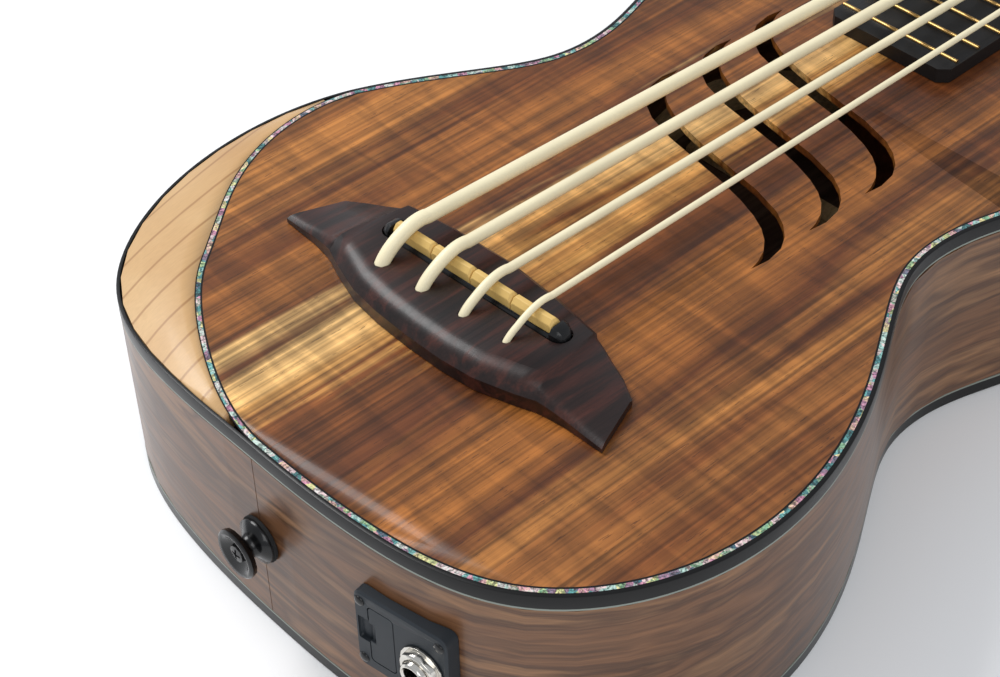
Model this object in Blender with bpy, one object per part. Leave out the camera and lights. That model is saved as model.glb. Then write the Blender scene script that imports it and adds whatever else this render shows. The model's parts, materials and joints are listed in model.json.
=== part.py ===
"""Bass ukulele lying on its back: +Z out of the top, +Y toward the headstock, treble side at +X.

The origin is on the outer face of the back, on the centre line, straight under the saddle.
"""

import math

import bmesh
import bpy
import numpy as np
from mathutils import Matrix, Vector
from mathutils.geometry import tessellate_polygon

for old in list(bpy.data.objects):
    bpy.data.objects.remove(old, do_unlink=True)

# Gap left between pieces that are glued, pressed or resting on each other.
GAP = 0.0003

# String length and the body it sets: saddle at y = 0, twelfth fret where neck meets body.
SCALE = 0.528
FRETS = 16
BODY_DEPTH = 0.081
PLATE = 0.0028
RIB = 0.0025
STATIONS = 72
# Half outline of the body, from the tail to the neck, as (half width, y).
HALF_OUTLINE = (
    (0.0000, -0.0880),
    (0.0483, -0.0857),
    (0.0956, -0.0709),
    (0.1246, -0.0300),
    (0.1273, 0.0209),
    (0.1120, 0.0641),
    (0.0948, 0.0940),
    (0.0843, 0.1168),
    (0.0840, 0.1437),
    (0.0922, 0.1720),
    (0.0975, 0.2030),
    (0.0880, 0.2340),
    (0.0620, 0.2560),
    (0.0300, 0.2636),
    (0.0100, 0.2640),
)

# Edge trim: black binding laminated with a pale line below, and the shell strip in the top.
BINDING_W = 0.0012
BINDING_H = 0.0057
SHELL_W = 0.0016
SHELL_H = 0.0015
RABBET = BINDING_W + GAP
RIB_EDGE = BINDING_H + GAP

# Maple armrest let into the bass side of the lower bout.
ARM_LENGTH = 0.232
ARM_WIDTH = 0.0288
ARM_DROP = 0.0075
ARM_FULLNESS = 1.6
ARM_TIP = 0.0010
ARM_LEDGE = 0.0050

LINING_W = 0.0060
LINING_H = 0.0135
LINING_NOSE = 0.0040
BLOCK_HALF = 0.0300
NECK_BLOCK_L = 0.0390
TAIL_BLOCK_L = 0.0170

# Three S-shaped sound slots, one outline repeated toward the neck.
SLOT_FIRST = (0.0010, 0.1100)
SLOT_PITCH = 0.0281
SLOTS = 3
SLOT_OUTER = (
    (0.0469, -0.0320),
    (0.0479, -0.0245),
    (0.0467, -0.0173),
    (0.0436, -0.0120),
    (0.0391, -0.0077),
    (0.0330, -0.0040),
    (0.0200, 0.0000),
    (0.0085, 0.0020),
)
SLOT_INNER = (
    (0.0000, -0.0036),
    (0.0087, -0.0051),
    (0.0203, -0.0080),
    (0.0291, -0.0111),
    (0.0354, -0.0143),
    (0.0400, -0.0179),
    (0.0436, -0.0223),
    (0.0459, -0.0275),
)

# Bridge, saddle and strings.
BRIDGE_HALF = 0.0745
BRIDGE_RIDGE = 0.0483
BRIDGE_TOP = 0.0105
BRIDGE_TIP = 0.0032
BRIDGE_SKEW = 0.11
SADDLE_Y = 0.0020
SADDLE_TURN = math.radians(3.0)
SADDLE_TOP = 0.0155
CARRIER_HALF = 0.0405
CARRIER_W = 0.0078
CARRIER_FOOT = 0.0050
SEGMENT_PITCH = 0.0176
STRING_RADII = (0.00250, 0.00215, 0.00160, 0.00115)
STRING_NAMES = ("E", "A", "D", "G")
STRING_PITCH = 0.0182
HOLE_BACK = 0.0155
NUT_PITCH = 0.0117

# Neck and fingerboard.
BOARD_END = 0.2015
BOARD_TOP = 0.0060
BOARD_END_HALF = 0.0273
NUT_HALF = 0.0233
NUT_L = 0.0054
NUT_TOP = 0.0096
SLOT_FLOOR = 0.0080
FRET_W = 0.0021
FRET_H = 0.0010
FRET_INSET = 0.0011
ROD_W = 0.0060
ROD_H = 0.0092
HEEL_GAP = 0.2640 + GAP
HEAD_START = 0.5345
HEAD_TILT = math.radians(11.0)
HEAD_PIVOT = 0.5320
HEAD_THICK = 0.0145
NECK_POINTS = 11
NECK_LIP = 0.0010
VENEER = 0.0018

# Machine heads: (x, y) of each post, in the order of the strings.
POSTS = ((-0.0255, 0.5760), (-0.0215, 0.6340), (0.0215, 0.6340), (0.0255, 0.5760))
POST_R = 0.0045
POST_H = 0.0225
GEAR_R = 0.0076
GEAR_H = 0.0042
GEAR_TEETH = 14
WORM_R = 0.0031
# Tuner button sections as (height, half width, half thickness).
PADDLE = (
    (0.0016, 0.0030, 0.0024),
    (0.0045, 0.0072, 0.0034),
    (0.0085, 0.0098, 0.0036),
    (0.0130, 0.0104, 0.0036),
    (0.0170, 0.0086, 0.0032),
    (0.0190, 0.0046, 0.0022),
)
WORM_Y = GEAR_R + WORM_R + 2 * GAP
HOUSING_T = 0.0012
WRAPS = 1.6
WRAP_STEPS = 9

# Strap button at the tail, and the panel with jack and cell drawer beside it.
BUTTON_Z = 0.0406
BUTTON_L = 0.0110
PANEL_X = 0.0642
PANEL_Z = 0.0419
PANEL_W = 0.0350
PANEL_H = 0.0328
PANEL_T = 0.0040
DRAWER_X = -0.0072
DRAWER_W = 0.0093
DRAWER_H = 0.0238
DRAWER_L = 0.0230
JACK_X = 0.0083
JACK_R = 0.0047
CELL_R = 0.0100
CELL_T = 0.0032

# Access opening in the back, under the string anchors.
HATCH = (0.0000, -0.0360)
HATCH_SIZE = (0.1000, 0.0520)
HATCH_LEDGE = 0.0040
HATCH_T = 0.0016


def material(name, colour, roughness, metallic=0.0):
    """A plain Principled BSDF material."""
    made = bpy.data.materials.new(name)
    made.use_nodes = True
    shader = made.node_tree.nodes["Principled BSDF"]
    shader.inputs["Base Color"].default_value = (*colour, 1.0)
    shader.inputs["Roughness"].default_value = roughness
    shader.inputs["Metallic"].default_value = metallic
    made.diffuse_color = (*colour, 1.0)
    return made


KOA = material("koa", (0.26, 0.11, 0.04), 0.28)
WALNUT = material("walnut", (0.16, 0.10, 0.065), 0.32)
MAPLE = material("maple", (0.62, 0.43, 0.25), 0.35)
ROSEWOOD = material("rosewood", (0.045, 0.018, 0.012), 0.38)
EBONY = material("ebony", (0.012, 0.010, 0.010), 0.42)
MAHOGANY = material("mahogany", (0.20, 0.075, 0.035), 0.38)
SPRUCE = material("spruce", (0.60, 0.42, 0.24), 0.65)
BLACK_TRIM = material("black_trim", (0.012, 0.012, 0.014), 0.22)
SHELL = material("abalone", (0.35, 0.50, 0.45), 0.20, 0.3)
TAN = material("tan_polymer", (0.62, 0.42, 0.18), 0.40)
BLACK_PLASTIC = material("black_plastic", (0.010, 0.010, 0.011), 0.25)
CREAM = material("cream_polymer", (0.82, 0.74, 0.52), 0.40)
BONE = material("bone", (0.75, 0.70, 0.58), 0.35)
STEEL = material("steel", (0.45, 0.45, 0.46), 0.35, 1.0)
NICKEL = material("nickel", (0.66, 0.65, 0.62), 0.16, 1.0)
BLACK_METAL = material("black_metal", (0.020, 0.021, 0.024), 0.20, 1.0)
SLATE = material("slate_plastic", (0.035, 0.045, 0.055), 0.45)
FELT = material("felt", (0.03, 0.03, 0.03), 0.95)


def add(name, points, faces, mat, smooth=None):
    """Object from points and faces, faces turned outward."""
    mesh = bpy.data.meshes.new(name)
    bm = bmesh.new()
    verts = [bm.verts.new(point) for point in points]
    for face in faces:
        bm.faces.new([verts[i] for i in face])
    bmesh.ops.recalc_face_normals(bm, faces=bm.faces)
    bm.to_mesh(mesh)
    bm.free()
    if smooth:
        mesh.shade_smooth()
        mesh.set_sharp_from_angle(angle=math.radians(smooth))
    obj = bpy.data.objects.new(name, mesh)
    bpy.context.scene.collection.objects.link(obj)
    if mat is None:
        obj.hide_render = True
        obj.display_type = "WIRE"
    else:
        mesh.materials.append(mat)
    return obj


def boolean(obj, other, operation="DIFFERENCE"):
    """Live exact Boolean of obj with another object."""
    made = obj.modifiers.new(operation.lower() + "_" + other.name, "BOOLEAN")
    made.operation = operation
    made.solver = "EXACT"
    made.object = other
    other.hide_render = True
    other.display_type = "WIRE"
    return obj


def loft(name, sections, mat, ring=False, smooth=None):
    """Skin over sections with equal point counts; a ring joins its last section to its first."""
    count = len(sections[0])
    points = [point for section in sections for point in section]
    faces = []
    spans = len(sections) if ring else len(sections) - 1
    for i in range(spans):
        here, there = i * count, (i + 1) % len(sections) * count
        for j in range(count):
            k = (j + 1) % count
            faces.append((here + j, here + k, there + k, there + j))
    if not ring:
        faces.append(tuple(range(count)))
        faces.append(tuple(range(len(points) - count, len(points))))
    return add(name, points, faces, mat, smooth)


def slab(name, levels, mat, holes=(), smooth=None):
    """Plate from (outline, z) levels, bottom first; each hole is a list of such levels too."""
    points, faces = [], []
    lows, highs = [], []
    for wall in (levels, *holes):
        loops = []
        for outline, z in wall:
            start = len(points)
            points += [(x, y, z) for x, y in outline]
            loops.append(range(start, len(points)))
        for low, high in zip(loops, loops[1:]):
            count = len(low)
            for j in range(count):
                k = (j + 1) % count
                faces.append((low[j], low[k], high[k], high[j]))
        lows.append(loops[0])
        highs.append(loops[-1])
    for loops in (lows, highs):
        order = [i for loop in loops for i in loop]
        shape = [[Vector((*points[i][:2], 0.0)) for i in loop] for loop in loops]
        faces += [tuple(order[i] for i in tri) for tri in tessellate_polygon(shape)]
    return add(name, points, faces, mat, smooth)


def box(name, low, high, mat):
    """Plain box between two corners."""
    (x0, y0, z0), (x1, y1, z1) = low, high
    return slab(name, [(((x0, y0), (x1, y0), (x1, y1), (x0, y1)), z) for z in (z0, z1)], mat)


def turned(name, profile, mat, sides=20, bore=False, smooth=40):
    """Turned piece from (radius, z) points; a bore closes the profile on itself."""
    sections = []
    for i in range(sides):
        angle = 2 * math.pi * i / sides
        sections.append([(r * math.cos(angle), r * math.sin(angle), z) for r, z in profile])
    if bore:
        return loft(name, sections, mat, ring=True, smooth=smooth)
    points = [(0.0, 0.0, profile[0][1]), (0.0, 0.0, profile[-1][1])]
    inner = len(profile) - 2
    for section in sections:
        points += section[1:-1]
    faces = []
    for i in range(sides):
        here, there = 2 + i * inner, 2 + (i + 1) % sides * inner
        faces.append((0, here, there))
        faces.append((1, there + inner - 1, here + inner - 1))
        for j in range(inner - 1):
            faces.append((here + j, here + j + 1, there + j + 1, there + j))
    return add(name, points, faces, mat, smooth)


def tube(name, path, radii, mat, sides=6):
    """Round cord along a path, its frame carried along without twist."""
    path = [Vector(point) for point in path]
    normal = None
    sections = []
    for i, point in enumerate(path):
        ahead = path[min(i + 1, len(path) - 1)] - path[max(i - 1, 0)]
        ahead.normalize()
        if normal is None:
            normal = ahead.orthogonal().normalized()
        normal = (normal - ahead * normal.dot(ahead)).normalized()
        across = ahead.cross(normal)
        section = []
        for j in range(sides):
            angle = 2 * math.pi * j / sides
            section.append(point + (normal * math.cos(angle) + across * math.sin(angle)) * radii[i])
        sections.append(section)
    return loft(name, sections, mat, smooth=50)


def closed_curve(knots, count):
    """Even points on the smooth closed curve through the knots, with inward normals and lengths."""
    knots = np.array(knots)
    steps = np.linalg.norm(np.roll(knots, -1, axis=0) - knots, axis=1)
    size = len(knots)
    system = np.zeros((size, size))
    right = np.zeros((size, 2))
    for i in range(size):
        before, after = steps[i - 1], steps[i]
        system[i, i - 1] += before
        system[i, i] += 2 * (before + after)
        system[i, (i + 1) % size] += after
        right[i] = 6 * ((knots[(i + 1) % size] - knots[i]) / after - (knots[i] - knots[i - 1]) / before)
    bend = np.linalg.solve(system, right)
    fine = []
    for i in range(size):
        h, j = steps[i], (i + 1) % size
        t = np.linspace(0, 1, 60, endpoint=False)[:, None]
        u = 1 - t
        part = u * knots[i] + t * knots[j]
        fine.append(part + h * h / 6 * ((u**3 - u) * bend[i] + (t**3 - t) * bend[j]))
    fine = np.concatenate(fine)
    closed = np.vstack([fine, fine[:1]])
    run = np.concatenate([[0], np.cumsum(np.linalg.norm(np.diff(closed, axis=0), axis=1))])
    along = np.arange(count) / count * run[-1]
    points = np.stack([np.interp(along, run, closed[:, k]) for k in (0, 1)], axis=1)
    tangent = np.roll(points, -1, axis=0) - np.roll(points, 1, axis=0)
    tangent /= np.linalg.norm(tangent, axis=1)[:, None]
    normal = np.stack([tangent[:, 1], -tangent[:, 0]], axis=1)
    return points, normal, along, run[-1]


def rounded(cx, cy, w, h, r, steps=5):
    """Rounded rectangle in plan, counter-clockwise."""
    points = []
    corners = ((1, 1, 0), (-1, 1, 90), (-1, -1, 180), (1, -1, 270))
    for sx, sy, start in corners:
        for i in range(steps + 1):
            angle = math.radians(start + 90 * i / steps)
            x = cx + sx * (w / 2 - r) + r * math.cos(angle)
            points.append((x, cy + sy * (h / 2 - r) + r * math.sin(angle)))
    return points


def place(obj, location=(0, 0, 0), rotation=(0, 0, 0), parent=None):
    """Location, rotation and parent of an object."""
    obj.location = location
    obj.rotation_euler = rotation
    obj.parent = parent
    return obj


def stand(name, location, rotation=(0, 0, 0)):
    """Empty that carries pieces sharing one axis."""
    made = bpy.data.objects.new(name, None)
    bpy.context.scene.collection.objects.link(made)
    return place(made, location, rotation)


# Body outline, starting at the tail and running round the bass side first.
bass_half = [(-x, y) for x, y in HALF_OUTLINE]
treble_half = [(x, y) for x, y in HALF_OUTLINE[:0:-1]]
EDGE, INWARD, ALONG, AROUND = closed_curve(bass_half + treble_half, STATIONS)
MIDDLE = STATIONS // 2


def arm(i):
    """How far station i is into the armrest, from 0 at its tips to 1 at its widest."""
    part = ALONG[i % STATIONS] / ARM_LENGTH
    return math.sin(math.pi * part) ** ARM_FULLNESS if 0 < part < 1 else 0.0


def arm_width(i):
    return ARM_WIDTH * arm(i)


def arm_drop(i):
    return ARM_DROP * arm(i)


def in_armrest(i):
    return arm_width(i) > ARM_TIP


def edge_point(i, offset, z):
    """Point a given way inside the outline at station i, which may be fractional."""
    low = math.floor(i)
    part = i - low
    a, b = low % STATIONS, (low + 1) % STATIONS
    x, y = (EDGE[a] + INWARD[a] * offset) * (1 - part) + (EDGE[b] + INWARD[b] * offset) * part
    return (x, y, z)


def edge_loop(offset_of):
    return [edge_point(i, offset_of(i), 0)[:2] for i in range(STATIONS)]


def edge_ring(name, shape, mat):
    """Strip running right round the body; shape gives (offset, z) pairs at a station."""
    sections = []
    for i in range(STATIONS):
        sections.append([edge_point(i, offset, z) for offset, z in shape(i)])
    return loft(name, sections, mat, ring=True, smooth=40)


def edge_strip(name, first, last, shape, mat):
    """Strip between two stations."""
    stops = [first] + [i for i in range(math.floor(first) + 1, math.ceil(last))] + [last]
    sections = []
    for stop in stops:
        near = int(round(stop))
        sections.append([edge_point(stop, offset, z) for offset, z in shape(near)])
    return loft(name, sections, mat, smooth=40)


def station_at(length):
    """Fractional station a given length from the tail."""
    return length / AROUND * STATIONS


# Top with its stepped edge and sound slots.
def slot_outline(cx, cy):
    half = [*SLOT_OUTER] + [(-x, -y) for x, y in SLOT_INNER]
    turned_half = [(-x, -y) for x, y in half]
    return [(cx + x, cy + y) for x, y in half + turned_half]


slots = []
for k in range(SLOTS):
    outline = slot_outline(SLOT_FIRST[0], SLOT_FIRST[1] + k * SLOT_PITCH)
    slots.append([(outline, BODY_DEPTH - PLATE), (outline, BODY_DEPTH)])
low_edge = edge_loop(lambda i: RABBET + arm_width(i))
high_edge = edge_loop(lambda i: RABBET + SHELL_W + GAP + arm_width(i))
step_z = BODY_DEPTH - SHELL_H - GAP
top = slab(
    "top_plate",
    [(low_edge, BODY_DEPTH - PLATE), (low_edge, step_z), (high_edge, step_z), (high_edge, BODY_DEPTH)],
    KOA,
    slots,
)

# Back with its access opening and the flush cover.
hatch_wide = rounded(*HATCH, HATCH_SIZE[0] + 2 * HATCH_LEDGE, HATCH_SIZE[1] + 2 * HATCH_LEDGE, 0.012)
hatch_clear = rounded(*HATCH, *HATCH_SIZE, 0.009)
hatch_shelf = HATCH_T + GAP
slab(
    "back_plate",
    [(edge_loop(lambda i: RABBET), z) for z in (0.0, PLATE)],
    WALNUT,
    [[(hatch_wide, 0.0), (hatch_wide, hatch_shelf), (hatch_clear, hatch_shelf), (hatch_clear, PLATE)]],
)
cover_outline = rounded(
    *HATCH, HATCH_SIZE[0] + 2 * (HATCH_LEDGE - GAP), HATCH_SIZE[1] + 2 * (HATCH_LEDGE - GAP), 0.0117
)
slab("access_cover", [(cover_outline, z) for z in (0.0, HATCH_T)], BLACK_PLASTIC)


# Ribs: outer face on the outline, rebated for the trim at both edges.
def rib_shape(i):
    edge = BODY_DEPTH - RIB_EDGE - arm_drop(i)
    tongue = edge - 0.0002 if in_armrest(i) else BODY_DEPTH - PLATE - GAP
    foot = PLATE + GAP
    outer = [(0, RIB_EDGE), (0, edge), (RABBET, edge), (RABBET, tongue)]
    return outer + [(RIB, tongue), (RIB, foot), (RABBET, foot), (RABBET, RIB_EDGE)]


seam = station_at(GAP / 2)
edge_strip("rib_bass", seam, MIDDLE - seam, rib_shape, WALNUT)
edge_strip("rib_treble", MIDDLE + seam, STATIONS - seam, rib_shape, WALNUT)


# Trim strips.
def binding_top_shape(i):
    top_z = BODY_DEPTH - arm_drop(i)
    low_z = top_z - BINDING_H
    return [(0, low_z), (BINDING_W, low_z), (BINDING_W, top_z), (0, top_z)]


def shell_shape(i):
    inner, outer = RABBET + arm_width(i), RABBET + SHELL_W + arm_width(i)
    low_z = BODY_DEPTH - SHELL_H
    return [(inner, low_z), (outer, low_z), (outer, BODY_DEPTH), (inner, BODY_DEPTH)]


edge_ring("binding_top", binding_top_shape, BLACK_TRIM)
edge_ring("abalone_strip", shell_shape, SHELL)
edge_ring("binding_back", lambda i: [(0, 0), (BINDING_W, 0), (BINDING_W, BINDING_H), (0, BINDING_H)], BLACK_TRIM)


# Armrest: a wedge with a crowned upper face and a ledge under the top.
def armrest_shape(i):
    inner = BINDING_W + arm_width(i)
    drop = arm_drop(i)
    ledge = inner + ARM_LEDGE
    under = BODY_DEPTH - PLATE - GAP
    seat = BODY_DEPTH - drop - RIB_EDGE + GAP
    crown = []
    for part, fall in ((0.25, 0.10), (0.5, 0.30), (0.75, 0.60)):
        crown.append((inner + (RABBET - inner) * part, BODY_DEPTH - drop * fall))
    shape = [(RABBET, BODY_DEPTH - drop), (RABBET, seat), (ledge, under - 0.0024), (ledge, under)]
    return shape + [(inner, under), (inner, BODY_DEPTH)] + crown


arm_stations = [i for i in range(MIDDLE) if in_armrest(i)]
loft(
    "armrest",
    [[edge_point(i, offset, z) for offset, z in armrest_shape(i)] for i in arm_stations],
    MAPLE,
    smooth=30,
)


# Linings glued inside the ribs, top and back, between the two end blocks.
def lining_top_shape(i):
    top_z = BODY_DEPTH - PLATE - GAP
    if in_armrest(i) or in_armrest(i + 1) or in_armrest(i - 1):
        top_z = BODY_DEPTH - RIB_EDGE - arm_drop(i) - 0.0002
    inner = RIB + GAP
    wide = inner + LINING_W
    return [(inner, top_z), (inner, top_z - LINING_H), (wide, top_z - LINING_NOSE), (wide, top_z)]


def lining_back_shape(i):
    low_z = PLATE + GAP
    inner = RIB + GAP
    wide = inner + LINING_W
    return [(inner, low_z), (inner, low_z + LINING_H), (wide, low_z + LINING_NOSE), (wide, low_z)]


clear_of_block = station_at(BLOCK_HALF + 0.0025)
for side, first in (("bass", 0), ("treble", MIDDLE)):
    start, stop = first + clear_of_block, first + MIDDLE - clear_of_block
    edge_strip("lining_top_" + side, start, stop, lining_top_shape, SPRUCE)
    edge_strip("lining_back_" + side, start, stop, lining_back_shape, SPRUCE)


# End blocks, shaped to the inside of the ribs.
def block_outline(centre, reach, length, inward):
    span = station_at(BLOCK_HALF)
    curve = []
    for k in range(-4, 5):
        x, y, _ = edge_point((centre + span * k / 4) % STATIONS, RIB + GAP, 0)
        curve.append((x, y))
    far = reach + inward * length
    return curve + [(curve[-1][0], far), (curve[0][0], far)]


block_z = (PLATE + GAP, BODY_DEPTH - PLATE - GAP)
tail_outline = block_outline(STATIONS, EDGE[0][1] + RIB, TAIL_BLOCK_L, 1)
tail_block = slab("tail_block", [(tail_outline, z) for z in block_z], MAHOGANY)
arm_relief = box("arm_relief", (-0.040, -0.090, BODY_DEPTH - 0.0085), (-0.004, -0.060, BODY_DEPTH), None)
boolean(tail_block, arm_relief)
neck_outline = block_outline(MIDDLE, EDGE[MIDDLE][1] - RIB, NECK_BLOCK_L, -1)
slab("neck_block", [(neck_outline, z) for z in block_z], MAHOGANY)


# Braces, tapered at both ends, glued to the inside of top and back.
def brace(name, y, half, face, way, width=0.008, height=0.010):
    sections = []
    for x, part in ((-half, 0.3), (-0.7 * half, 1.0), (0.7 * half, 1.0), (half, 0.3)):
        tip = face + way * height * part
        shoulder = face + way * height * part * 0.6
        w = width / 2
        section = [(-w, face), (w, face), (w, shoulder), (w / 3, tip), (-w / 3, tip), (-w, shoulder)]
        sections.append([(x, y + dy, z) for dy, z in section])
    return loft(name, sections, SPRUCE)


top_face = BODY_DEPTH - PLATE - GAP
brace("brace_top_upper", 0.2140, 0.080, top_face, -1)
brace("brace_top_lower", 0.0560, 0.092, top_face, -1)
brace("brace_back_upper", 0.1900, 0.080, PLATE + GAP, 1)
brace("brace_back_lower", 0.0450, 0.104, PLATE + GAP, 1)


# Strings: paths first, because bridge, nut and top are bored along them.
def quadratic(a, b, c, steps):
    """Points on the curve from a to c pulled toward b, without its first point."""
    a, b, c = Vector(a), Vector(b), Vector(c)
    points = []
    for i in range(1, steps + 1):
        t = i / steps
        points.append(a * (1 - t) ** 2 + b * 2 * t * (1 - t) + c * t * t)
    return points


def head_matrix(x, y):
    """Frame on the headstock's face at (x, y), z along the posts."""
    z = BODY_DEPTH - math.tan(HEAD_TILT) * (y - HEAD_PIVOT)
    return Matrix.Translation((x, y, z)) @ Matrix.Rotation(-HEAD_TILT, 4, "X")


def string_path(k):
    """Centre line from the anchor to the end of the wraps, and the radius at each point."""
    r = STRING_RADII[k]
    x = (k - 1.5) * STRING_PITCH
    slant = x * math.tan(SADDLE_TURN)
    hole_y = SADDLE_Y + slant - HOLE_BACK
    nut_x = (k - 1.5) * NUT_PITCH
    z = BODY_DEPTH
    anchor = [(x, hole_y, z - 0.0150), (x, hole_y, z - 0.0140), (x, hole_y, z - 0.0080), (x, hole_y, z - 0.0070)]
    radii = [r, r + 0.0018, r + 0.0018, r]
    path = [Vector(p) for p in anchor]
    rise = Vector((x, hole_y, z + 0.0035))
    contact = Vector((x, SADDLE_Y + slant, z + SADDLE_TOP + GAP + r))
    lean = contact - Vector((0, 0.0085, 0.0036))
    path.append(rise)
    path += quadratic(rise, (x, hole_y, z + 0.0100), lean, 4)
    nut = Vector((nut_x, SCALE + NUT_L / 2, z + SLOT_FLOOR + GAP + r))
    run = (nut - contact).normalized()
    crest = contact + Vector((0, 0, 0.0018))
    path += quadratic(lean, crest, contact + run * 0.006, 3)
    path.append(nut - run * 0.003)
    centre = head_matrix(*POSTS[k])
    wrap = POST_R + r + GAP
    side = 1 if POSTS[k][0] < 0 else -1
    pitch = 2 * r + 0.0005
    height = VENEER + 2 * GAP + 0.0012 + r + WRAPS * pitch
    local = centre.inverted() @ (nut + Vector((0, 0.003, -0.0004)))
    away = math.atan2(local.y, local.x)
    touch = away + side * math.acos(wrap / math.hypot(local.x, local.y))
    start = centre @ Vector((wrap * math.cos(touch), wrap * math.sin(touch), height))
    path += quadratic(path[-1], nut + Vector((0, 0, 0.0002)), nut + (start - nut).normalized() * 0.004, 2)
    path.append(start)
    turns = int(round(WRAPS * WRAP_STEPS))
    for i in range(1, turns + 1):
        angle = touch + side * 2 * math.pi * i / WRAP_STEPS
        h = height - pitch * i / WRAP_STEPS
        path.append(centre @ Vector((wrap * math.cos(angle), wrap * math.sin(angle), h)))
    radii += [r] * (len(path) - len(radii))
    return path, radii


for k, letter in enumerate(STRING_NAMES):
    path, radii = string_path(k)
    tube("string_" + letter, path, radii, CREAM)


def bore(k, first, last, clearance, name):
    """Cutter that follows string k between two points of its path."""
    path, _ = string_path(k)
    return tube(name, path[first:last], [STRING_RADII[k] + clearance] * (last - first), None, sides=8)


# Bridge: flat middle with a bowed front, thin scooped wings with slanted tips.
FRONT = ((0.0, -0.0265), (0.015, -0.0261), (0.028, -0.0246), (0.041, -0.0207), (0.050, -0.0172), (0.060, -0.0158), (BRIDGE_HALF, -0.0153))
BACK = ((0.0, 0.0175), (0.027, 0.0160), (0.0517, 0.0130), (0.060, 0.0110), (0.068, 0.0090), (BRIDGE_HALF, 0.0055))


def along(table, value):
    return float(np.interp(value, [a for a, _ in table], [b for _, b in table]))


def bridge_section(u):
    """Front to back section of the bridge at front station u."""
    front, rear = along(FRONT, abs(u)), along(BACK, abs(u))
    depth = rear - front
    base = BODY_DEPTH + GAP
    if abs(u) <= BRIDGE_RIDGE:
        height, nose, round_in = BRIDGE_TOP, 0.0052, 0.0075
    else:
        part = (abs(u) - BRIDGE_RIDGE) / (BRIDGE_HALF - BRIDGE_RIDGE)
        height = BRIDGE_TIP + (0.0088 - BRIDGE_TIP) * (1 - part) ** 1.5
        nose, round_in = height * 0.62, 0.0040
    top_z = BODY_DEPTH + height
    nose_z = BODY_DEPTH + nose
    shape = [
        (0.0, base),
        (0.0, nose_z),
        (round_in * 0.25, nose_z + (top_z - nose_z) * 0.55),
        (round_in * 0.60, nose_z + (top_z - nose_z) * 0.88),
        (round_in, top_z),
        (depth - 0.0018, top_z),
        (depth, top_z - min(0.0015, height * 0.3)),
        (depth, base),
    ]
    section = []
    for run, z in shape:
        part = run / depth
        section.append((u * (1 - BRIDGE_SKEW * part), front + run, z))
    return section


half_stations = [0.0, 0.015, 0.028, 0.036, 0.042, BRIDGE_RIDGE]
wing_stations = [BRIDGE_RIDGE + 0.0004, 0.053, 0.059, 0.066, BRIDGE_HALF]
right_half = half_stations + wing_stations
bridge = loft(
    "bridge",
    [bridge_section(u) for u in [-u for u in right_half[:0:-1]] + right_half],
    ROSEWOOD,
    smooth=24,
)


def stadium(length, width, steps=8):
    """Long slot outline with round ends."""
    points = []
    for sign, start in ((1, -90), (-1, 90)):
        for i in range(steps + 1):
            angle = math.radians(start + 180 * i / steps)
            x = sign * (length - width) / 2 + width / 2 * math.cos(angle)
            points.append((x, width / 2 * math.sin(angle)))
    return points


saddle_stand = stand("saddle_axis", (0, SADDLE_Y, BODY_DEPTH), (0, 0, SADDLE_TURN))
mortise = slab(
    "mortise",
    [(stadium(2 * (CARRIER_HALF + GAP), CARRIER_W + 2 * GAP), z) for z in (CARRIER_FOOT - GAP, 0.02)],
    None,
)
place(mortise, parent=saddle_stand)
boolean(bridge, mortise)

# Carrier: rounded black bar with domed ends, grooved for pickup and saddles.
CARRIER_STEPS = ((0.0405, 0.0020, 0.0095), (0.0396, 0.0046, 0.0118), (0.0382, 0.0066, 0.0134), (0.0366, 0.0078, 0.0141), (0.0356, 0.0078, 0.0141), (0.0354, 0.0078, 0.0112))
carrier_sections = []
for sign in (-1, 1):
    steps = CARRIER_STEPS if sign < 0 else CARRIER_STEPS[::-1]
    for x, w, high in steps:
        w /= 2
        section = [(-w, CARRIER_FOOT), (w, CARRIER_FOOT), (w, high - 0.0016), (w * 0.6, high), (-w * 0.6, high), (-w, high - 0.0016)]
        carrier_sections.append([(sign * x, y, z) for y, z in section])
carrier = place(loft("saddle_carrier", carrier_sections, BLACK_PLASTIC, smooth=40), parent=saddle_stand)
groove = box("groove", (-0.0353, -0.0025, 0.0075), (0.0353, 0.0025, 0.02), None)
place(groove, parent=saddle_stand)
boolean(carrier, groove)
pickup = box("pickup_strip", (-0.0349, -0.0018, 0.0078), (0.0349, 0.0018, 0.0088), STEEL)
place(pickup, parent=saddle_stand)

for k in range(len(STRING_NAMES)):
    end = (SEGMENT_PITCH - GAP) / 2
    sections = []
    for x, cut in ((-end, 0.0009), (-end + 0.0009, 0), (end - 0.0009, 0), (end, 0.0009)):
        section = [(-0.0022, 0.0091), (0.0022, 0.0091), (0.0022, 0.0136 - cut), (0.0008, SADDLE_TOP - cut), (-0.0008, SADDLE_TOP - cut), (-0.0022, 0.0136 - cut)]
        sections.append([(x, y, z) for y, z in section])
    segment = loft("saddle_" + STRING_NAMES[k], sections, TAN)
    place(segment, ((k - 1.5) * SEGMENT_PITCH, 0, 0), parent=saddle_stand)

# Plate under the top that the string anchors pull against.
plate_z = (BODY_DEPTH - PLATE - GAP - 0.0025, BODY_DEPTH - PLATE - GAP)
bridge_plate = box("bridge_plate", (-0.058, -0.030, plate_z[0]), (0.058, 0.020, plate_z[1]), MAPLE)
for k, letter in enumerate(STRING_NAMES):
    cutter = bore(k, 3, 9, 0.0004, "bore_" + letter)
    for piece in (top, bridge, bridge_plate):
        boolean(piece, cutter)


# Neck: heel, shaft and tilted headstock as one blank.
def board_half(y):
    return float(np.interp(y, (BOARD_END, SCALE), (BOARD_END_HALF, NUT_HALF)))


def head_z(y):
    return BODY_DEPTH - max(0.0, math.tan(HEAD_TILT) * (y - HEAD_PIVOT))


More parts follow.
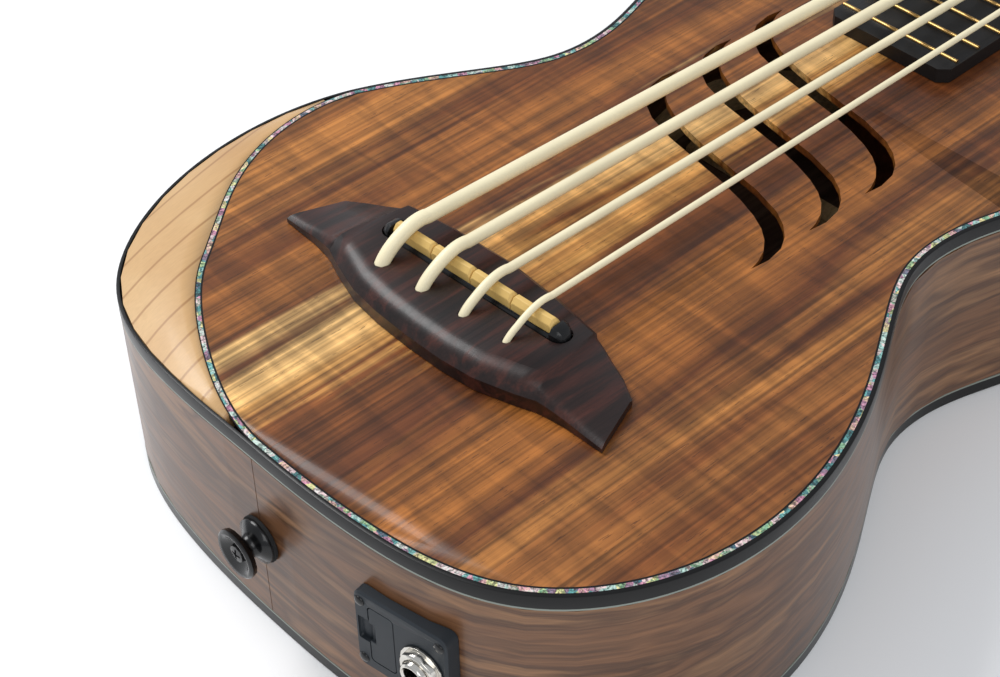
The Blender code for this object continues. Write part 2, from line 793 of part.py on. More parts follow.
def neck_section(y, half, depth, fullness):
    """D-shaped section under the fingerboard; a higher fullness gives it squarer shoulders."""
    points = []
    for i in range(NECK_POINTS):
        angle = math.pi * i / (NECK_POINTS - 1)
        c, s = math.cos(angle), math.sin(angle)
        x = half * math.copysign(abs(c) ** (2 / fullness), c)
        points.append((x, y, head_z(y) - NECK_LIP - (depth - NECK_LIP) * abs(s) ** (2 / fullness)))
    return [(half, y, head_z(y)), *points, (-half, y, head_z(y))]


def head_section(y, half):
    """Flat section of the headstock with eased back corners, as many points as the neck's."""
    depth = HEAD_THICK / math.cos(HEAD_TILT)
    ease = 0.0012
    side = [(half, 0), (half, NECK_LIP), (half, depth - ease), (half - ease, depth)]
    side += [(half * 0.85, depth), (half * 0.40, depth)]
    points = [*side, (0, depth), *[(-x, down) for x, down in side[::-1]]]
    return [(x, y, head_z(y) - down) for x, down in points]


HEEL = ((HEEL_GAP, 0.0680), (0.2700, 0.0672), (0.2760, 0.0630), (0.2820, 0.0535), (0.2880, 0.0430), (0.2950, 0.0335), (0.3040, 0.0262), (0.3160, 0.0218), (0.3340, 0.0194))
HEAD = (
    (0.5380, 0.0245),
    (0.5450, 0.0300),
    (0.5530, 0.0352),
    (0.5620, 0.0376),
    (0.5690, 0.0380),
    (0.5840, 0.0374),
    (0.6050, 0.0358),
    (0.6260, 0.0360),
    (0.6430, 0.0368),
    (0.6640, 0.0392),
    (0.6735, 0.0350),
    (0.6780, 0.0120),
)
neck_sections = [neck_section(y, board_half(y) - 0.0002, depth, 2.7) for y, depth in HEEL]
for y, depth in ((0.38, 0.0186), (0.46, 0.0174), (0.515, 0.0166), (SCALE, 0.0162)):
    neck_sections.append(neck_section(y, board_half(y) - 0.0002, depth, 2.2))
neck_sections += [head_section(y, half) for y, half in ((HEAD_START, NUT_HALF), *HEAD)]
neck = loft("neck", neck_sections, MAHOGANY, smooth=35)

veneer_sections = []
for y, half in ((HEAD_START + GAP, NUT_HALF), *HEAD):
    low = head_z(y) + GAP
    shape = [(-half, low), (half, low), (half, low + VENEER - 0.0004), (half - 0.0004, low + VENEER)]
    shape += [(0.0004 - half, low + VENEER), (-half, low + VENEER - 0.0004)]
    veneer_sections.append([(x, y, z) for x, z in shape])
headplate = loft("headplate", veneer_sections, ROSEWOOD)

rod_slot = box("rod_slot", (-ROD_W / 2 - GAP, 0.275, BODY_DEPTH - ROD_H - 2 * GAP), (ROD_W / 2 + GAP, 0.526, BODY_DEPTH + 0.01), None)
boolean(neck, rod_slot)
box("truss_rod", (-ROD_W / 2, 0.2755, BODY_DEPTH - ROD_H - GAP), (ROD_W / 2, 0.5255, BODY_DEPTH - GAP), STEEL)

# Fingerboard with clipped end corners and its fret ribs.
clip = 0.0035
end_half = board_half(BOARD_END)
board_outline = [
    (-end_half + clip, BOARD_END),
    (end_half - clip, BOARD_END),
    (end_half, BOARD_END + clip),
    (NUT_HALF, SCALE),
    (-NUT_HALF, SCALE),
    (-end_half, BOARD_END + clip),
]
board = slab("fingerboard", [(board_outline, BODY_DEPTH + z) for z in (GAP, BOARD_TOP)], EBONY)
fret_points, fret_faces = [], []
for n in range(1, FRETS + 1):
    y = SCALE / 2 ** (n / 12)
    half = board_half(y) - FRET_INSET
    profile = [(-FRET_W / 2, BOARD_TOP - 0.0004), (-FRET_W / 4, BOARD_TOP + FRET_H * 0.86)]
    profile += [(0, BOARD_TOP + FRET_H), (FRET_W / 4, BOARD_TOP + FRET_H * 0.86)]
    profile.append((FRET_W / 2, BOARD_TOP - 0.0004))
    start, size = len(fret_points), len(profile)
    for x in (-half, half):
        fret_points += [(x, y + dy, BODY_DEPTH + z) for dy, z in profile]
    for j in range(size):
        k = (j + 1) % size
        fret_faces.append((start + j, start + k, start + size + k, start + size + j))
    fret_faces.append(tuple(range(start, start + size)))
    fret_faces.append(tuple(range(start + size, start + 2 * size)))
frets = add("frets", fret_points, fret_faces, None)
boolean(board, frets, "UNION")

# Nut, slotted for the strings.
nut_profile = [(SCALE + GAP, GAP), (SCALE + GAP, NUT_TOP - 0.0002), (SCALE + NUT_L / 2, NUT_TOP), (SCALE + NUT_L, NUT_TOP - 0.0012), (SCALE + NUT_L, GAP)]
nut = loft("nut", [[(x, y, BODY_DEPTH + z) for y, z in nut_profile] for x in (-NUT_HALF, NUT_HALF)], BONE)
for k, letter in enumerate(STRING_NAMES):
    boolean(nut, bore(k, 12, 16, GAP, "nut_slot_" + letter))

# Machine heads on the back of the headstock.
plate_top = -HEAD_THICK - GAP
plate_low = plate_top - HOUSING_T
worm_z = plate_low - WORM_R - GAP
gear_top = worm_z + GEAR_H / 2
gear_low = worm_z - GEAR_H / 2


def gear_outline():
    """Toothed outline with one point per tip and one per valley."""
    points = []
    for i in range(2 * GEAR_TEETH):
        angle = math.pi * i / GEAR_TEETH
        reach = GEAR_R if i % 2 else GEAR_R - 0.0012
        points.append((reach * math.cos(angle), reach * math.sin(angle)))
    return points


for k, (x, y) in enumerate(POSTS):
    letter = STRING_NAMES[k]
    out = 1 if x > 0 else -1
    turn = (-HEAD_TILT, 0, 0)
    face_z = head_z(y)
    axis = stand("post_axis_" + letter, (x, y, face_z), turn)
    hole = turned("post_hole_" + letter, [(0, -0.03), (POST_R + 0.0004, -0.03), (POST_R + 0.0004, 0.01), (0, 0.01)], None, 14)
    place(hole, parent=axis)
    boolean(neck, hole)
    boolean(headplate, hole)
    # Base plate with two bearing lugs for the worm.
    base = rounded(0, 0.0030, 0.0270, 0.0290, 0.004, 2)
    housing = place(slab("tuner_housing_" + letter, [(base, z) for z in (plate_low, plate_top)], BLACK_METAL), parent=axis)
    for side in (-1, 1):
        lug = box(
            "lug_%s_%d" % (letter, side),
            (side * 0.0100 - 0.0014, WORM_Y - 0.0036, worm_z - 0.0044),
            (side * 0.0100 + 0.0014, WORM_Y + 0.0036, plate_low + 0.0006),
            None,
        )
        boolean(housing, place(lug, parent=axis), "UNION")
    boolean(housing, hole)
    shaft_r = 0.0021
    worm_axis = stand("worm_axis_" + letter, (0, WORM_Y, worm_z), (0, out * math.pi / 2, 0))
    worm_axis.parent = axis
    bearing = turned("bearing_" + letter, [(0, -0.02), (shaft_r + GAP, -0.02), (shaft_r + GAP, 0.02), (0, 0.02)], None, 10)
    boolean(housing, place(bearing, parent=worm_axis))
    # Worm, shaft and button; z of this frame points out of the headstock's side.
    lug_in, lug_out = 0.0086 - GAP, 0.0114 + GAP
    profile = [(0, -lug_out - 0.0016), (shaft_r, -lug_out - 0.0016), (shaft_r, -lug_in)]
    threads = 4
    for i in range(threads):
        low = -lug_in + 2 * lug_in * i / threads
        profile.append((WORM_R, low + lug_in / threads))
        profile.append((WORM_R - 0.0010, low + 2 * lug_in / threads))
    stem = 0.0385 + 0.0030 - abs(x)
    profile += [(shaft_r, lug_out), (0.0032, lug_out), (0.0032, lug_out + 0.0020)]
    profile += [(shaft_r, lug_out + 0.0026), (shaft_r, stem), (0.0034, stem + 0.0006), (0.0034, stem + 0.0030)]
    profile += [(0, stem + 0.0030)]
    worm = turned("tuner_button_" + letter, profile, BLACK_METAL, 8)
    place(worm, parent=worm_axis)
    paddle_sections = []
    for up, wide, thick in PADDLE:
        section = []
        for i in range(8):
            angle = 2 * math.pi * i / 8
            section.append((thick * math.cos(angle), wide * math.sin(angle), stem + up))
        paddle_sections.append(section)
    paddle = place(loft("paddle_" + letter, paddle_sections, None, smooth=50), parent=worm_axis)
    boolean(worm, paddle, "UNION")
    # Post with its gear.
    profile = [(0, gear_low - 0.0012), (0.0028, gear_low - 0.0012), (POST_R, gear_top - 0.0004)]
    profile += [(POST_R, POST_H - 0.0032), (POST_R - 0.0006, POST_H - 0.0024), (POST_R - 0.0006, POST_H - 0.0016)]
    profile += [(POST_R, POST_H - 0.0008), (0, POST_H)]
    post = place(turned("tuner_post_" + letter, profile, BLACK_METAL, 10), parent=axis)
    gear = slab("gear_" + letter, [(gear_outline(), z) for z in (gear_low, gear_top)], None)
    boolean(post, place(gear, parent=axis), "UNION")

# Strap button on the tail: felt washer, spool and its screw.
tail_y = EDGE[0][1]
button_stand = stand("button_axis", (0, tail_y, BUTTON_Z), (math.pi / 2, 0, 0))
washer = [(0.0021, GAP), (0.0083, GAP), (0.0083, 0.0014), (0.0021, 0.0014)]
place(turned("strap_washer", washer, FELT, 18, bore=True), parent=button_stand)
foot = 0.0014 + GAP
spool = [(0.0021, foot), (0.0079, foot), (0.0079, foot + 0.0011), (0.0046, foot + 0.0026), (0.0037, foot + 0.0044)]
spool += [(0.0040, BUTTON_L - 0.0034), (0.0086, BUTTON_L - 0.0024), (0.0088, BUTTON_L - 0.0008), (0.0080, BUTTON_L)]
spool += [(0.0066, BUTTON_L - 0.0003), (0.0044, BUTTON_L - 0.0026), (0.0021, BUTTON_L - 0.0028)]
place(turned("strap_button", spool, BLACK_METAL, 18, bore=True), parent=button_stand)
head = BUTTON_L - 0.0026 + GAP
screw = [(0, -0.0160), (0.0017, -0.0130), (0.0017, head), (0.0034, head), (0.0030, head + 0.0014), (0, head + 0.0018)]
strap_screw = place(turned("strap_screw", screw, BLACK_METAL, 12), parent=button_stand)
cross = slab("cross_slot", [(((-0.0020, -0.0004), (0.0020, -0.0004), (0.0020, 0.0004), (-0.0020, 0.0004)), z) for z in (head + 0.0008, head + 0.004)], None)
cross_other = slab("cross_slot_across", [(((-0.0004, -0.0020), (0.0004, -0.0020), (0.0004, 0.0020), (-0.0004, 0.0020)), z) for z in (head + 0.0008, head + 0.004)], None)
boolean(strap_screw, place(cross, parent=button_stand))
boolean(strap_screw, place(cross_other, parent=button_stand))
screw_hole = turned("screw_hole", [(0, -0.0175), (0.0021, -0.0145), (0.0021, 0.01), (0, 0.01)], None, 12)
place(screw_hole, parent=button_stand)
for name in ("rib_bass", "rib_treble", "tail_block"):
    boolean(bpy.data.objects[name], screw_hole)

# Panel frame: x along the rib, y into the body, z up.
near_panel = min(range(MIDDLE, STATIONS), key=lambda i: abs(EDGE[i][0] - PANEL_X) + (EDGE[i][1] > 0))
panel_y = float(np.interp(PANEL_X, EDGE[: MIDDLE - 1 : -1, 0][:20], EDGE[: MIDDLE - 1 : -1, 1][:20]))
slope = EDGE[near_panel - 1] - EDGE[near_panel + 1]
panel_stand = stand("panel_axis", (PANEL_X, panel_y, PANEL_Z), (0, 0, math.atan2(slope[1], slope[0])))


def upright(name, outline, y0, y1, mat, holes=()):
    """Slab whose outline is in x and z of the panel frame and whose thickness runs along y."""
    made = slab(name, [(outline, -y1), (outline, -y0)], mat, holes)
    made.data.transform(Matrix.Rotation(math.pi / 2, 4, "X"))
    return made


face_y = -PANEL_T
sleeve_outline = rounded(DRAWER_X, 0, DRAWER_W + 0.0034, DRAWER_H + 0.0034, 0.001, 2)
flange_sections = []
for y, inset in ((0.0020, 0), (face_y + 0.0007, 0), (face_y, 0.0007)):
    outline = rounded(0, 0, PANEL_W - 2 * inset, PANEL_H - 2 * inset, 0.0030 - inset, 4)
    flange_sections.append([(x, y, z) for x, z in outline])
panel = place(loft("panel_plate", flange_sections, SLATE), parent=panel_stand)
wall = slab("outer_wall", [(edge_loop(lambda i: -GAP), z) for z in (0.005, BODY_DEPTH - 0.005)], None)
boolean(panel, wall)
sleeve = upright("drawer_sleeve", sleeve_outline, face_y + 0.001, DRAWER_L + 0.0030, None)
boolean(panel, place(sleeve, parent=panel_stand), "UNION")
bay = upright("drawer_bay", rounded(DRAWER_X, 0, DRAWER_W + 2 * GAP, DRAWER_H + 2 * GAP, 0.0015, 3), face_y - 0.01, DRAWER_L, None)
boolean(panel, place(bay, parent=panel_stand))
jack_hole = upright("jack_hole", [((JACK_R + GAP) * math.cos(a / 10 * math.pi) + JACK_X, (JACK_R + GAP) * math.sin(a / 10 * math.pi)) for a in range(20)], face_y - 0.01, 0.01, None)
boolean(panel, place(jack_hole, parent=panel_stand))
thumb = upright("latch_recess", rounded(DRAWER_X - DRAWER_W / 2 - 0.0012, 0.0008, 0.0062, 0.0100, 0.0006, 2), face_y - 0.01, face_y + 0.0016, None)
boolean(panel, place(thumb, parent=panel_stand))
opening = box("panel_opening", (-PANEL_W / 2 + 0.0026, -0.01, -PANEL_H / 2 + 0.0024), (PANEL_W / 2 - 0.0026, 0.01, PANEL_H / 2 - 0.0024), None)
boolean(bpy.data.objects["rib_treble"], place(opening, parent=panel_stand))

# Drawer for two coin cells, sliding straight out of the panel.
drawer_stand = stand("drawer_axis", (DRAWER_X, 0, 0))
drawer_stand.parent = panel_stand
drawer = upright("battery_drawer", rounded(0, 0, DRAWER_W, DRAWER_H, 0.0013, 3), face_y, DRAWER_L - 0.0010, SLATE)
place(drawer, parent=drawer_stand)
pocket = box("cell_pocket", (-DRAWER_W / 2 + 0.0012, 0.0004, -0.0108), (DRAWER_W / 2 + 0.001, 0.0208, 0.0108), None)
boolean(drawer, place(pocket, parent=drawer_stand))
notch = box("finger_notch", (-DRAWER_W / 2 - 0.001, face_y - 0.001, -0.0032), (-DRAWER_W / 2 + 0.0022, face_y + 0.0012, 0.0048), None)
boolean(drawer, place(notch, parent=drawer_stand))
for n, start in enumerate((-DRAWER_W / 2 + 0.0015, -DRAWER_W / 2 + 0.0018 + CELL_T)):
    rim = [(0, 0), (CELL_R - 0.0012, 0), (CELL_R - 0.0010, 0.0004), (CELL_R, 0.0008), (CELL_R, CELL_T), (0, CELL_T)]
    cell = turned("coin_cell_%d" % (n + 1), rim, STEEL, 20)
    place(cell, (start, 0.0106, 0), (0, math.pi / 2, 0), drawer_stand)

# Jack: threaded sleeve with its barrel behind, hexagon nut on a washer in front.
jack_stand = stand("jack_axis", (JACK_X, 0, 0), (math.pi / 2, 0, 0))
jack_stand.parent = panel_stand
front = PANEL_T + GAP
tip_bore = 0.0034
jack = [(tip_bore, -0.0200), (0.0060, -0.0200), (0.0060, -0.0020), (JACK_R, -0.0020), (JACK_R, front + 0.0046)]
jack += [(JACK_R - 0.0006, front + 0.0052), (tip_bore + 0.0004, front + 0.0052), (tip_bore, front + 0.0046)]
place(turned("jack_sleeve", jack, NICKEL, 18, bore=True), parent=jack_stand)
hexagon = []
for i in range(18):
    angle = 2 * math.pi * i / 18
    flat = (angle + math.pi / 6) % (math.pi / 3) - math.pi / 6
    hexagon.append((0.00635 / math.cos(flat), angle))
nut_r = JACK_R + GAP
nut_loops = []
for (r_hex, angle) in hexagon:
    c, s = math.cos(angle), math.sin(angle)
    rz = [(nut_r, front), (0.0078, front), (0.0078, front + 0.0007), (r_hex, front + 0.0007)]
    rz += [(r_hex, front + 0.0027), (r_hex - 0.0007, front + 0.0032), (nut_r, front + 0.0032)]
    nut_loops.append([(r * c, r * s, z) for r, z in rz])
place(loft("jack_nut", nut_loops, NICKEL, ring=True, smooth=30), parent=jack_stand)

# Preamp case standing on the back, inside, beside the panel.
preamp_outline = rounded(0.058, -0.040, 0.044, 0.028, 0.003, 3)
slab("preamp_box", [(preamp_outline, z) for z in (PLATE + GAP, PLATE + 0.0125)], BLACK_PLASTIC)
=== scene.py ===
"""Dresses the bass ukulele: lacquered koa, maple armrest, shell strip, strings and fittings."""

import json
import math

import bmesh
import bpy
import numpy as np
from mathutils import Matrix, Vector

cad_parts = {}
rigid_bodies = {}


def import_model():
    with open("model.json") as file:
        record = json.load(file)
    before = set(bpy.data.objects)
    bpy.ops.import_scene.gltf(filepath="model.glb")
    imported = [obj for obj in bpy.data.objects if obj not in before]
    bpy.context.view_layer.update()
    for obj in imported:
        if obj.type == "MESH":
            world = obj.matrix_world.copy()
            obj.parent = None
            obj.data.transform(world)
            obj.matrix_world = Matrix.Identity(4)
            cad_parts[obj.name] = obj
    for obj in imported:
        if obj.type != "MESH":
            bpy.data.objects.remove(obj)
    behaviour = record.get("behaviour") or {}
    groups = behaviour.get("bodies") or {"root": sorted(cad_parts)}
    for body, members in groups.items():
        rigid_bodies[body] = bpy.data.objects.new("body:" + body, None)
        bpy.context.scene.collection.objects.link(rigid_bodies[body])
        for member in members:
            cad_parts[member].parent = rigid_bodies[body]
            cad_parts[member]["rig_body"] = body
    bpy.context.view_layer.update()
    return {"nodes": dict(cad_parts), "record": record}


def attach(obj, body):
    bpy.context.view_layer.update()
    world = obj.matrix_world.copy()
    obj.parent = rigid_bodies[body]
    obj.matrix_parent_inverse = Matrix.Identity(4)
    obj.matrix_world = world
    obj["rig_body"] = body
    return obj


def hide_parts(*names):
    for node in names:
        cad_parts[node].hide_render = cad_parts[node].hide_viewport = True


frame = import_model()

NODES = frame["nodes"]
SLOT_OF = {part["node"]: part["material_slot"] for part in frame["record"]["subparts"]}
LETTERS = "EADG"

# Body sizes repeated from the solids, in metres.
GAP = 0.0003
SCALE = 0.528
DEPTH = 0.081
HALF_OUTLINE = (
    (0.0000, -0.0880),
    (0.0483, -0.0857),
    (0.0956, -0.0709),
    (0.1246, -0.0300),
    (0.1273, 0.0209),
    (0.1120, 0.0641),
    (0.0948, 0.0940),
    (0.0843, 0.1168),
    (0.0840, 0.1437),
    (0.0922, 0.1720),
    (0.0975, 0.2030),
    (0.0880, 0.2340),
    (0.0620, 0.2560),
    (0.0300, 0.2636),
    (0.0100, 0.2640),
)
STATIONS = 288
STEPS_PER_KNOT = 60
BINDING_W = 0.0012
BINDING_H = 0.0057
BINDING_EASE = 0.0004
ROUND_MIDDLE = 0.3
RABBET = BINDING_W + GAP
ARM_LENGTH = 0.232
ARM_WIDTH = 0.0288
ARM_DROP = 0.0075
ARM_FULLNESS = 1.6

# Trim strips, each with how far it stands past the surface it lies in.
PALE_LINE_H = 0.0007
PALE_LINE_PROUD = 0.00002
SHELL_W = 0.0016
SHELL_INSET = 0.00005
SHELL_DEEP = 0.0015
SHELL_PROUD = 0.00003
BLACK_LINE_W = 0.0006
BLACK_LINE_LAP = 0.0001
BLACK_LINE_DEEP = 0.0012
OUTER_LINE_PROUD = 0.00002
INNER_LINE_PROUD = 0.00004

# Fret wires, on the crowns of the fingerboard's frets; the board's half width at its end and at the nut.
FRETS = 16
BOARD_END = 0.2015
BOARD_HALF = (0.0273, 0.0233)
FRET_INSET = 0.0009
FRET_R = 0.0008
FRET_Z = 0.0065

# Bridge, nut and head, as far as the strings need them.
SADDLE_Y = 0.0020
SADDLE_TURN = math.radians(3.0)
SADDLE_TOP = 0.0155
NUT_MIDDLE = 0.0027
NUT_SLOT = 0.0080
HEAD_TILT = math.radians(11.0)
HEAD_PIVOT = 0.5320
HEADPLATE_THICK = 0.0018
POSTS = ((-0.0255, 0.5760), (-0.0215, 0.6340), (0.0215, 0.6340), (0.0255, 0.5760))
POST_R = 0.0045

# Strings, from the anchor under the bridge to the wraps on the post.
STRING_RADII = (0.00250, 0.00215, 0.00160, 0.00115)
MIDDLE_STRING = 1.5
STRING_PITCH = 0.0182
NUT_PITCH = 0.0117
HOLE_BACK = 0.0155
ANCHOR_DEEP = 0.0150
BORE_DEEP = 0.0070
HOLE_RISE = 0.0035
ELBOW_RISE = 0.0100
LEAN = Vector((0, 0.0085, 0.0036))
CREST = Vector((0, 0, 0.0018))
PAST_SADDLE = 0.006
NUT_BEND = 0.003
NUT_CREST = Vector((0, 0, 0.0002))
NUT_LEAVE = Vector((0, 0.003, -0.0004))
PAST_NUT = 0.004
WRAPS = 1.6
WRAP_POINTS = 32
WRAP_SPACE = 0.0005
WRAP_LIFT = 0.0012

# Side panel and the screws in its corners.
PANEL_CENTRE = Vector((0.0642, -0.0830265, 0.0419))
PANEL_ALONG = Vector((0.985469, 0.169855, 0.0))
PANEL_OUT = Vector((0.169855, -0.985469, 0.0))
PANEL_PROUD = 0.0040
SCREW_ALONG = 0.0149
SCREW_UP = 0.0127
SCREW_R = 0.0019
SCREW_DOME = 0.45

# Studio and the camera of the photograph.
FLOOR_HALF = 4.0
FLOOR_DROP = 0.0002
SKY_COLOUR = (0.90, 0.94, 1.0, 1.0)
SKY_STRENGTH = 0.62
LAMP_AIM = Vector((0, 0.1, 0.05))
LAMPS = (
    ("key", (-1.3, -0.3, 1.6), 1.0, 30.0),
    ("fill", (1.3, -0.9, 1.3), 1.2, 12.0),
)
CAMERA_PLACE = (0.3743, -0.3177, 0.5118)
CAMERA_FORWARD = (-0.5577, 0.4891, -0.6706)
CAMERA_RIGHT = (0.6736, 0.7388, -0.0213)
CAMERA_LENS = 74.35
CAMERA_SHIFT = 0.003


# Colours and shader nodes.
def srgb(red, green, blue):
    """Linear colour of an 8-bit screen colour."""
    made = []
    for value in (red, green, blue):
        part = value / 255
        made.append(part / 12.92 if part <= 0.04045 else ((part + 0.055) / 1.055) ** 2.4)
    return (*made, 1.0)


def grey(value):
    return (value, value, value, 1.0)


def finish(name, rough, metallic=0.0, coat=0.0, specular=0.5):
    """A material with its Principled BSDF, ready for patterns."""
    mat = bpy.data.materials.new(name)
    mat.use_nodes = True
    shader = mat.node_tree.nodes["Principled BSDF"]
    shader.inputs["Roughness"].default_value = rough
    shader.inputs["Metallic"].default_value = metallic
    shader.inputs["Coat Weight"].default_value = coat
    shader.inputs["Coat Roughness"].default_value = 0.06
    shader.inputs["Specular IOR Level"].default_value = specular
    return mat, mat.node_tree, shader


def link(tree, source, target):
    tree.links.new(source, target)


def feed(tree, value, socket):
    """Sets a plain value on a socket, or links a node's output to it."""
    if isinstance(value, (float, tuple)):
        socket.default_value = value
    else:
        link(tree, value, socket)


def object_place(tree):
    return tree.nodes.new("ShaderNodeTexCoord").outputs["Object"]


def mapped(tree, source, scale, turn=0.0):
    """Coordinates scaled per axis and turned about z."""
    mapping = tree.nodes.new("ShaderNodeMapping")
    mapping.inputs["Scale"].default_value = scale
    mapping.inputs["Rotation"].default_value = (0, 0, turn)
    link(tree, source, mapping.inputs["Vector"])
    return mapping.outputs["Vector"]


def coords(tree, scale, turn=0.0):
    return mapped(tree, object_place(tree), scale, turn)


def noise(tree, vector, detail=3.0, rough=0.5, distortion=0.0, scale=1.0):
    made = tree.nodes.new("ShaderNodeTexNoise")
    made.inputs["Scale"].default_value = scale
    made.inputs["Detail"].default_value = detail
    made.inputs["Roughness"].default_value = rough
    made.inputs["Distortion"].default_value = distortion
    link(tree, vector, made.inputs["Vector"])
    return made.outputs["Fac"]


def ramp(tree, factor, stops):
    made = tree.nodes.new("ShaderNodeValToRGB")
    line = made.color_ramp
    while len(line.elements) < len(stops):
        line.elements.new(0.5)
    for element, (position, colour) in zip(line.elements, stops):
        element.position = position
        element.color = colour
    link(tree, factor, made.inputs["Fac"])
    return made.outputs["Color"]


def mask(tree, factor, low, high):
    """Soft step from black at low to white at high."""
    return ramp(tree, factor, [(low, grey(0)), (high, grey(1))])


# Sockets of a Mix node that blends colours.
MIX_FACTOR = 0
MIX_FIRST = 6
MIX_SECOND = 7
MIX_RESULT = 2


def mix(tree, factor, first, second, blend="MIX"):
    made = tree.nodes.new("ShaderNodeMix")
    made.data_type = "RGBA"
    made.blend_type = blend
    feed(tree, factor, made.inputs[MIX_FACTOR])
    feed(tree, first, made.inputs[MIX_FIRST])
    feed(tree, second, made.inputs[MIX_SECOND])
    return made.outputs[MIX_RESULT]


def between(tree, factor, dark, light):
    """Grey tone that goes from dark to light with the factor."""
    return mix(tree, factor, grey(dark), grey(light))


def toned(tree, colour, tone):
    return mix(tree, 1.0, colour, tone, "MULTIPLY")


def maths(tree, operation, first, second):
    made = tree.nodes.new("ShaderNodeMath")
    made.operation = operation
    feed(tree, first, made.inputs[0])
    feed(tree, second, made.inputs[1])
    return made.outputs[0]


def times(tree, first, second):
    return maths(tree, "MULTIPLY", first, second)


def plus(tree, first, second):
    return maths(tree, "ADD", first, second)


def surface(tree, shader, colour, rough, height, distance, strength):
    """Feeds a finish with its colour, varying roughness (None leaves it plain) and relief."""
    link(tree, colour, shader.inputs["Base Color"])
    if rough is not None:
        link(tree, rough, shader.inputs["Roughness"])
    bump = tree.nodes.new("ShaderNodeBump")
    bump.inputs["Strength"].default_value = strength
    bump.inputs["Distance"].default_value = distance
    link(tree, height, bump.inputs["Height"])
    link(tree, bump.outputs["Normal"], shader.inputs["Normal"])


def grain_group():
    """Wood figure along y: broad bands, fine streaks, cross curl and pores."""
    group = bpy.data.node_groups.new("wood_figure", "ShaderNodeTree")
    for name in ("Band", "Streak", "Curl"):
        group.interface.new_socket(name, in_out="INPUT", socket_type="NodeSocketFloat")
    for name in ("Bands", "Streaks", "Curl", "Pores"):
        group.interface.new_socket(name, in_out="OUTPUT", socket_type="NodeSocketFloat")
    given = group.nodes.new("NodeGroupInput").outputs
    place = object_place(group)

    def stretched(scale, shares, turn=0.0):
        """Object coordinates times a scale given to the group, with a share of it on each axis."""
        sized = group.nodes.new("ShaderNodeVectorMath")
        sized.operation = "SCALE"
        link(group, place, sized.inputs[0])
        link(group, given[scale], sized.inputs["Scale"])
        return mapped(group, sized.outputs[0], shares, turn)

    pore_field = noise(group, stretched("Streak", (1.0, 0.06, 1.0)), detail=2.0, rough=0.7, scale=3.2)
    patterns = {
        "Bands": noise(group, stretched("Band", (1.0, 0.07, 1.0)), detail=4.0, rough=0.55, distortion=0.5),
        "Streaks": noise(group, stretched("Streak", (1.0, 0.012, 1.0)), rough=0.6),
        "Curl": noise(group, stretched("Curl", (0.22, 1.0, 0.22), 0.12), detail=2.0, distortion=0.6),
        "Pores": maths(group, "GREATER_THAN", pore_field, 0.66),
    }
    outside = group.nodes.new("NodeGroupOutput")
    for name, value in patterns.items():
        link(group, value, outside.inputs[name])
    return group


WOOD_FIGURE = grain_group()


def figure(tree, band, streak, curl):
    """The wood figure with its three scales, in repeats per metre."""
    made = tree.nodes.new("ShaderNodeGroup")
    made.node_tree = WOOD_FIGURE
    made.inputs["Band"].default_value = band
    made.inputs["Streak"].default_value = streak
    made.inputs["Curl"].default_value = curl
    return made.outputs


# Finishes.
def koa_top():
    """Figured koa: wide red-brown and gold stripes, a pale stripe near the middle, cross curl."""
    half = 0.13
    sway = 0.085
    mat, tree, shader = finish("koa_top", 0.34, coat=0.08, specular=0.32)
    wood = figure(tree, band=60.0, streak=620.0, curl=120.0)
    place = tree.nodes.new("ShaderNodeSeparateXYZ")
    link(tree, object_place(tree), place.inputs[0])
    swayed = times(tree, maths(tree, "SUBTRACT", wood["Bands"], 0.5), sway)
    across = plus(tree, plus(tree, place.outputs["X"], swayed), half)
    colour = ramp(tree, maths(tree, "DIVIDE", across, 2 * half), [
        (0.00, srgb(112, 62, 24)),
        (0.13, srgb(168, 108, 50)),
        (0.22, srgb(102, 54, 20)),
        (0.30, srgb(156, 96, 42)),
        (0.37, srgb(98, 52, 20)),
        (0.41, srgb(224, 178, 112)),
        (0.46, srgb(202, 146, 78)),
        (0.50, srgb(118, 66, 26)),
        (0.60, srgb(86, 44, 18)),
        (0.68, srgb(154, 94, 40)),
        (0.76, srgb(90, 46, 18)),
        (0.84, srgb(166, 108, 52)),
        (0.92, srgb(114, 64, 28)),
        (1.00, srgb(150, 96, 46)),
    ])
    colour = toned(tree, colour, between(tree, mask(tree, wood["Streaks"], 0.34, 0.64), 0.50, 1.22))
    colour = toned(tree, colour, between(tree, mask(tree, wood["Curl"], 0.36, 0.64), 0.74, 1.18))
    colour = mix(tree, times(tree, wood["Pores"], 0.6), colour, srgb(52, 28, 18))
    rough = plus(tree, times(tree, wood["Streaks"], 0.16), 0.28)
    surface(tree, shader, colour, rough, wood["Streaks"], 0.00012, 0.35)
    return mat


def plain_wood(name, stops, band, streak, rough, coat=0.2):
    """Straight-grained lacquered wood in its own colours."""
    mat, tree, shader = finish(name, rough, coat=coat, specular=0.36)
    wood = figure(tree, band, streak, curl=110.0)
    colour = ramp(tree, wood["Bands"], stops)
    colour = toned(tree, colour, between(tree, mask(tree, wood["Streaks"], 0.30, 0.70), 0.68, 1.12))
    colour = toned(tree, colour, between(tree, mask(tree, wood["Curl"], 0.3, 0.7), 0.88, 1.072))
    colour = mix(tree, times(tree, wood["Pores"], 0.5), colour, (0.006, 0.004, 0.003, 1.0))
    varied = plus(tree, times(tree, wood["Streaks"], 0.18), rough - 0.09)
    surface(tree, shader, colour, varied, wood["Streaks"], 0.0001, 0.3)
    return mat


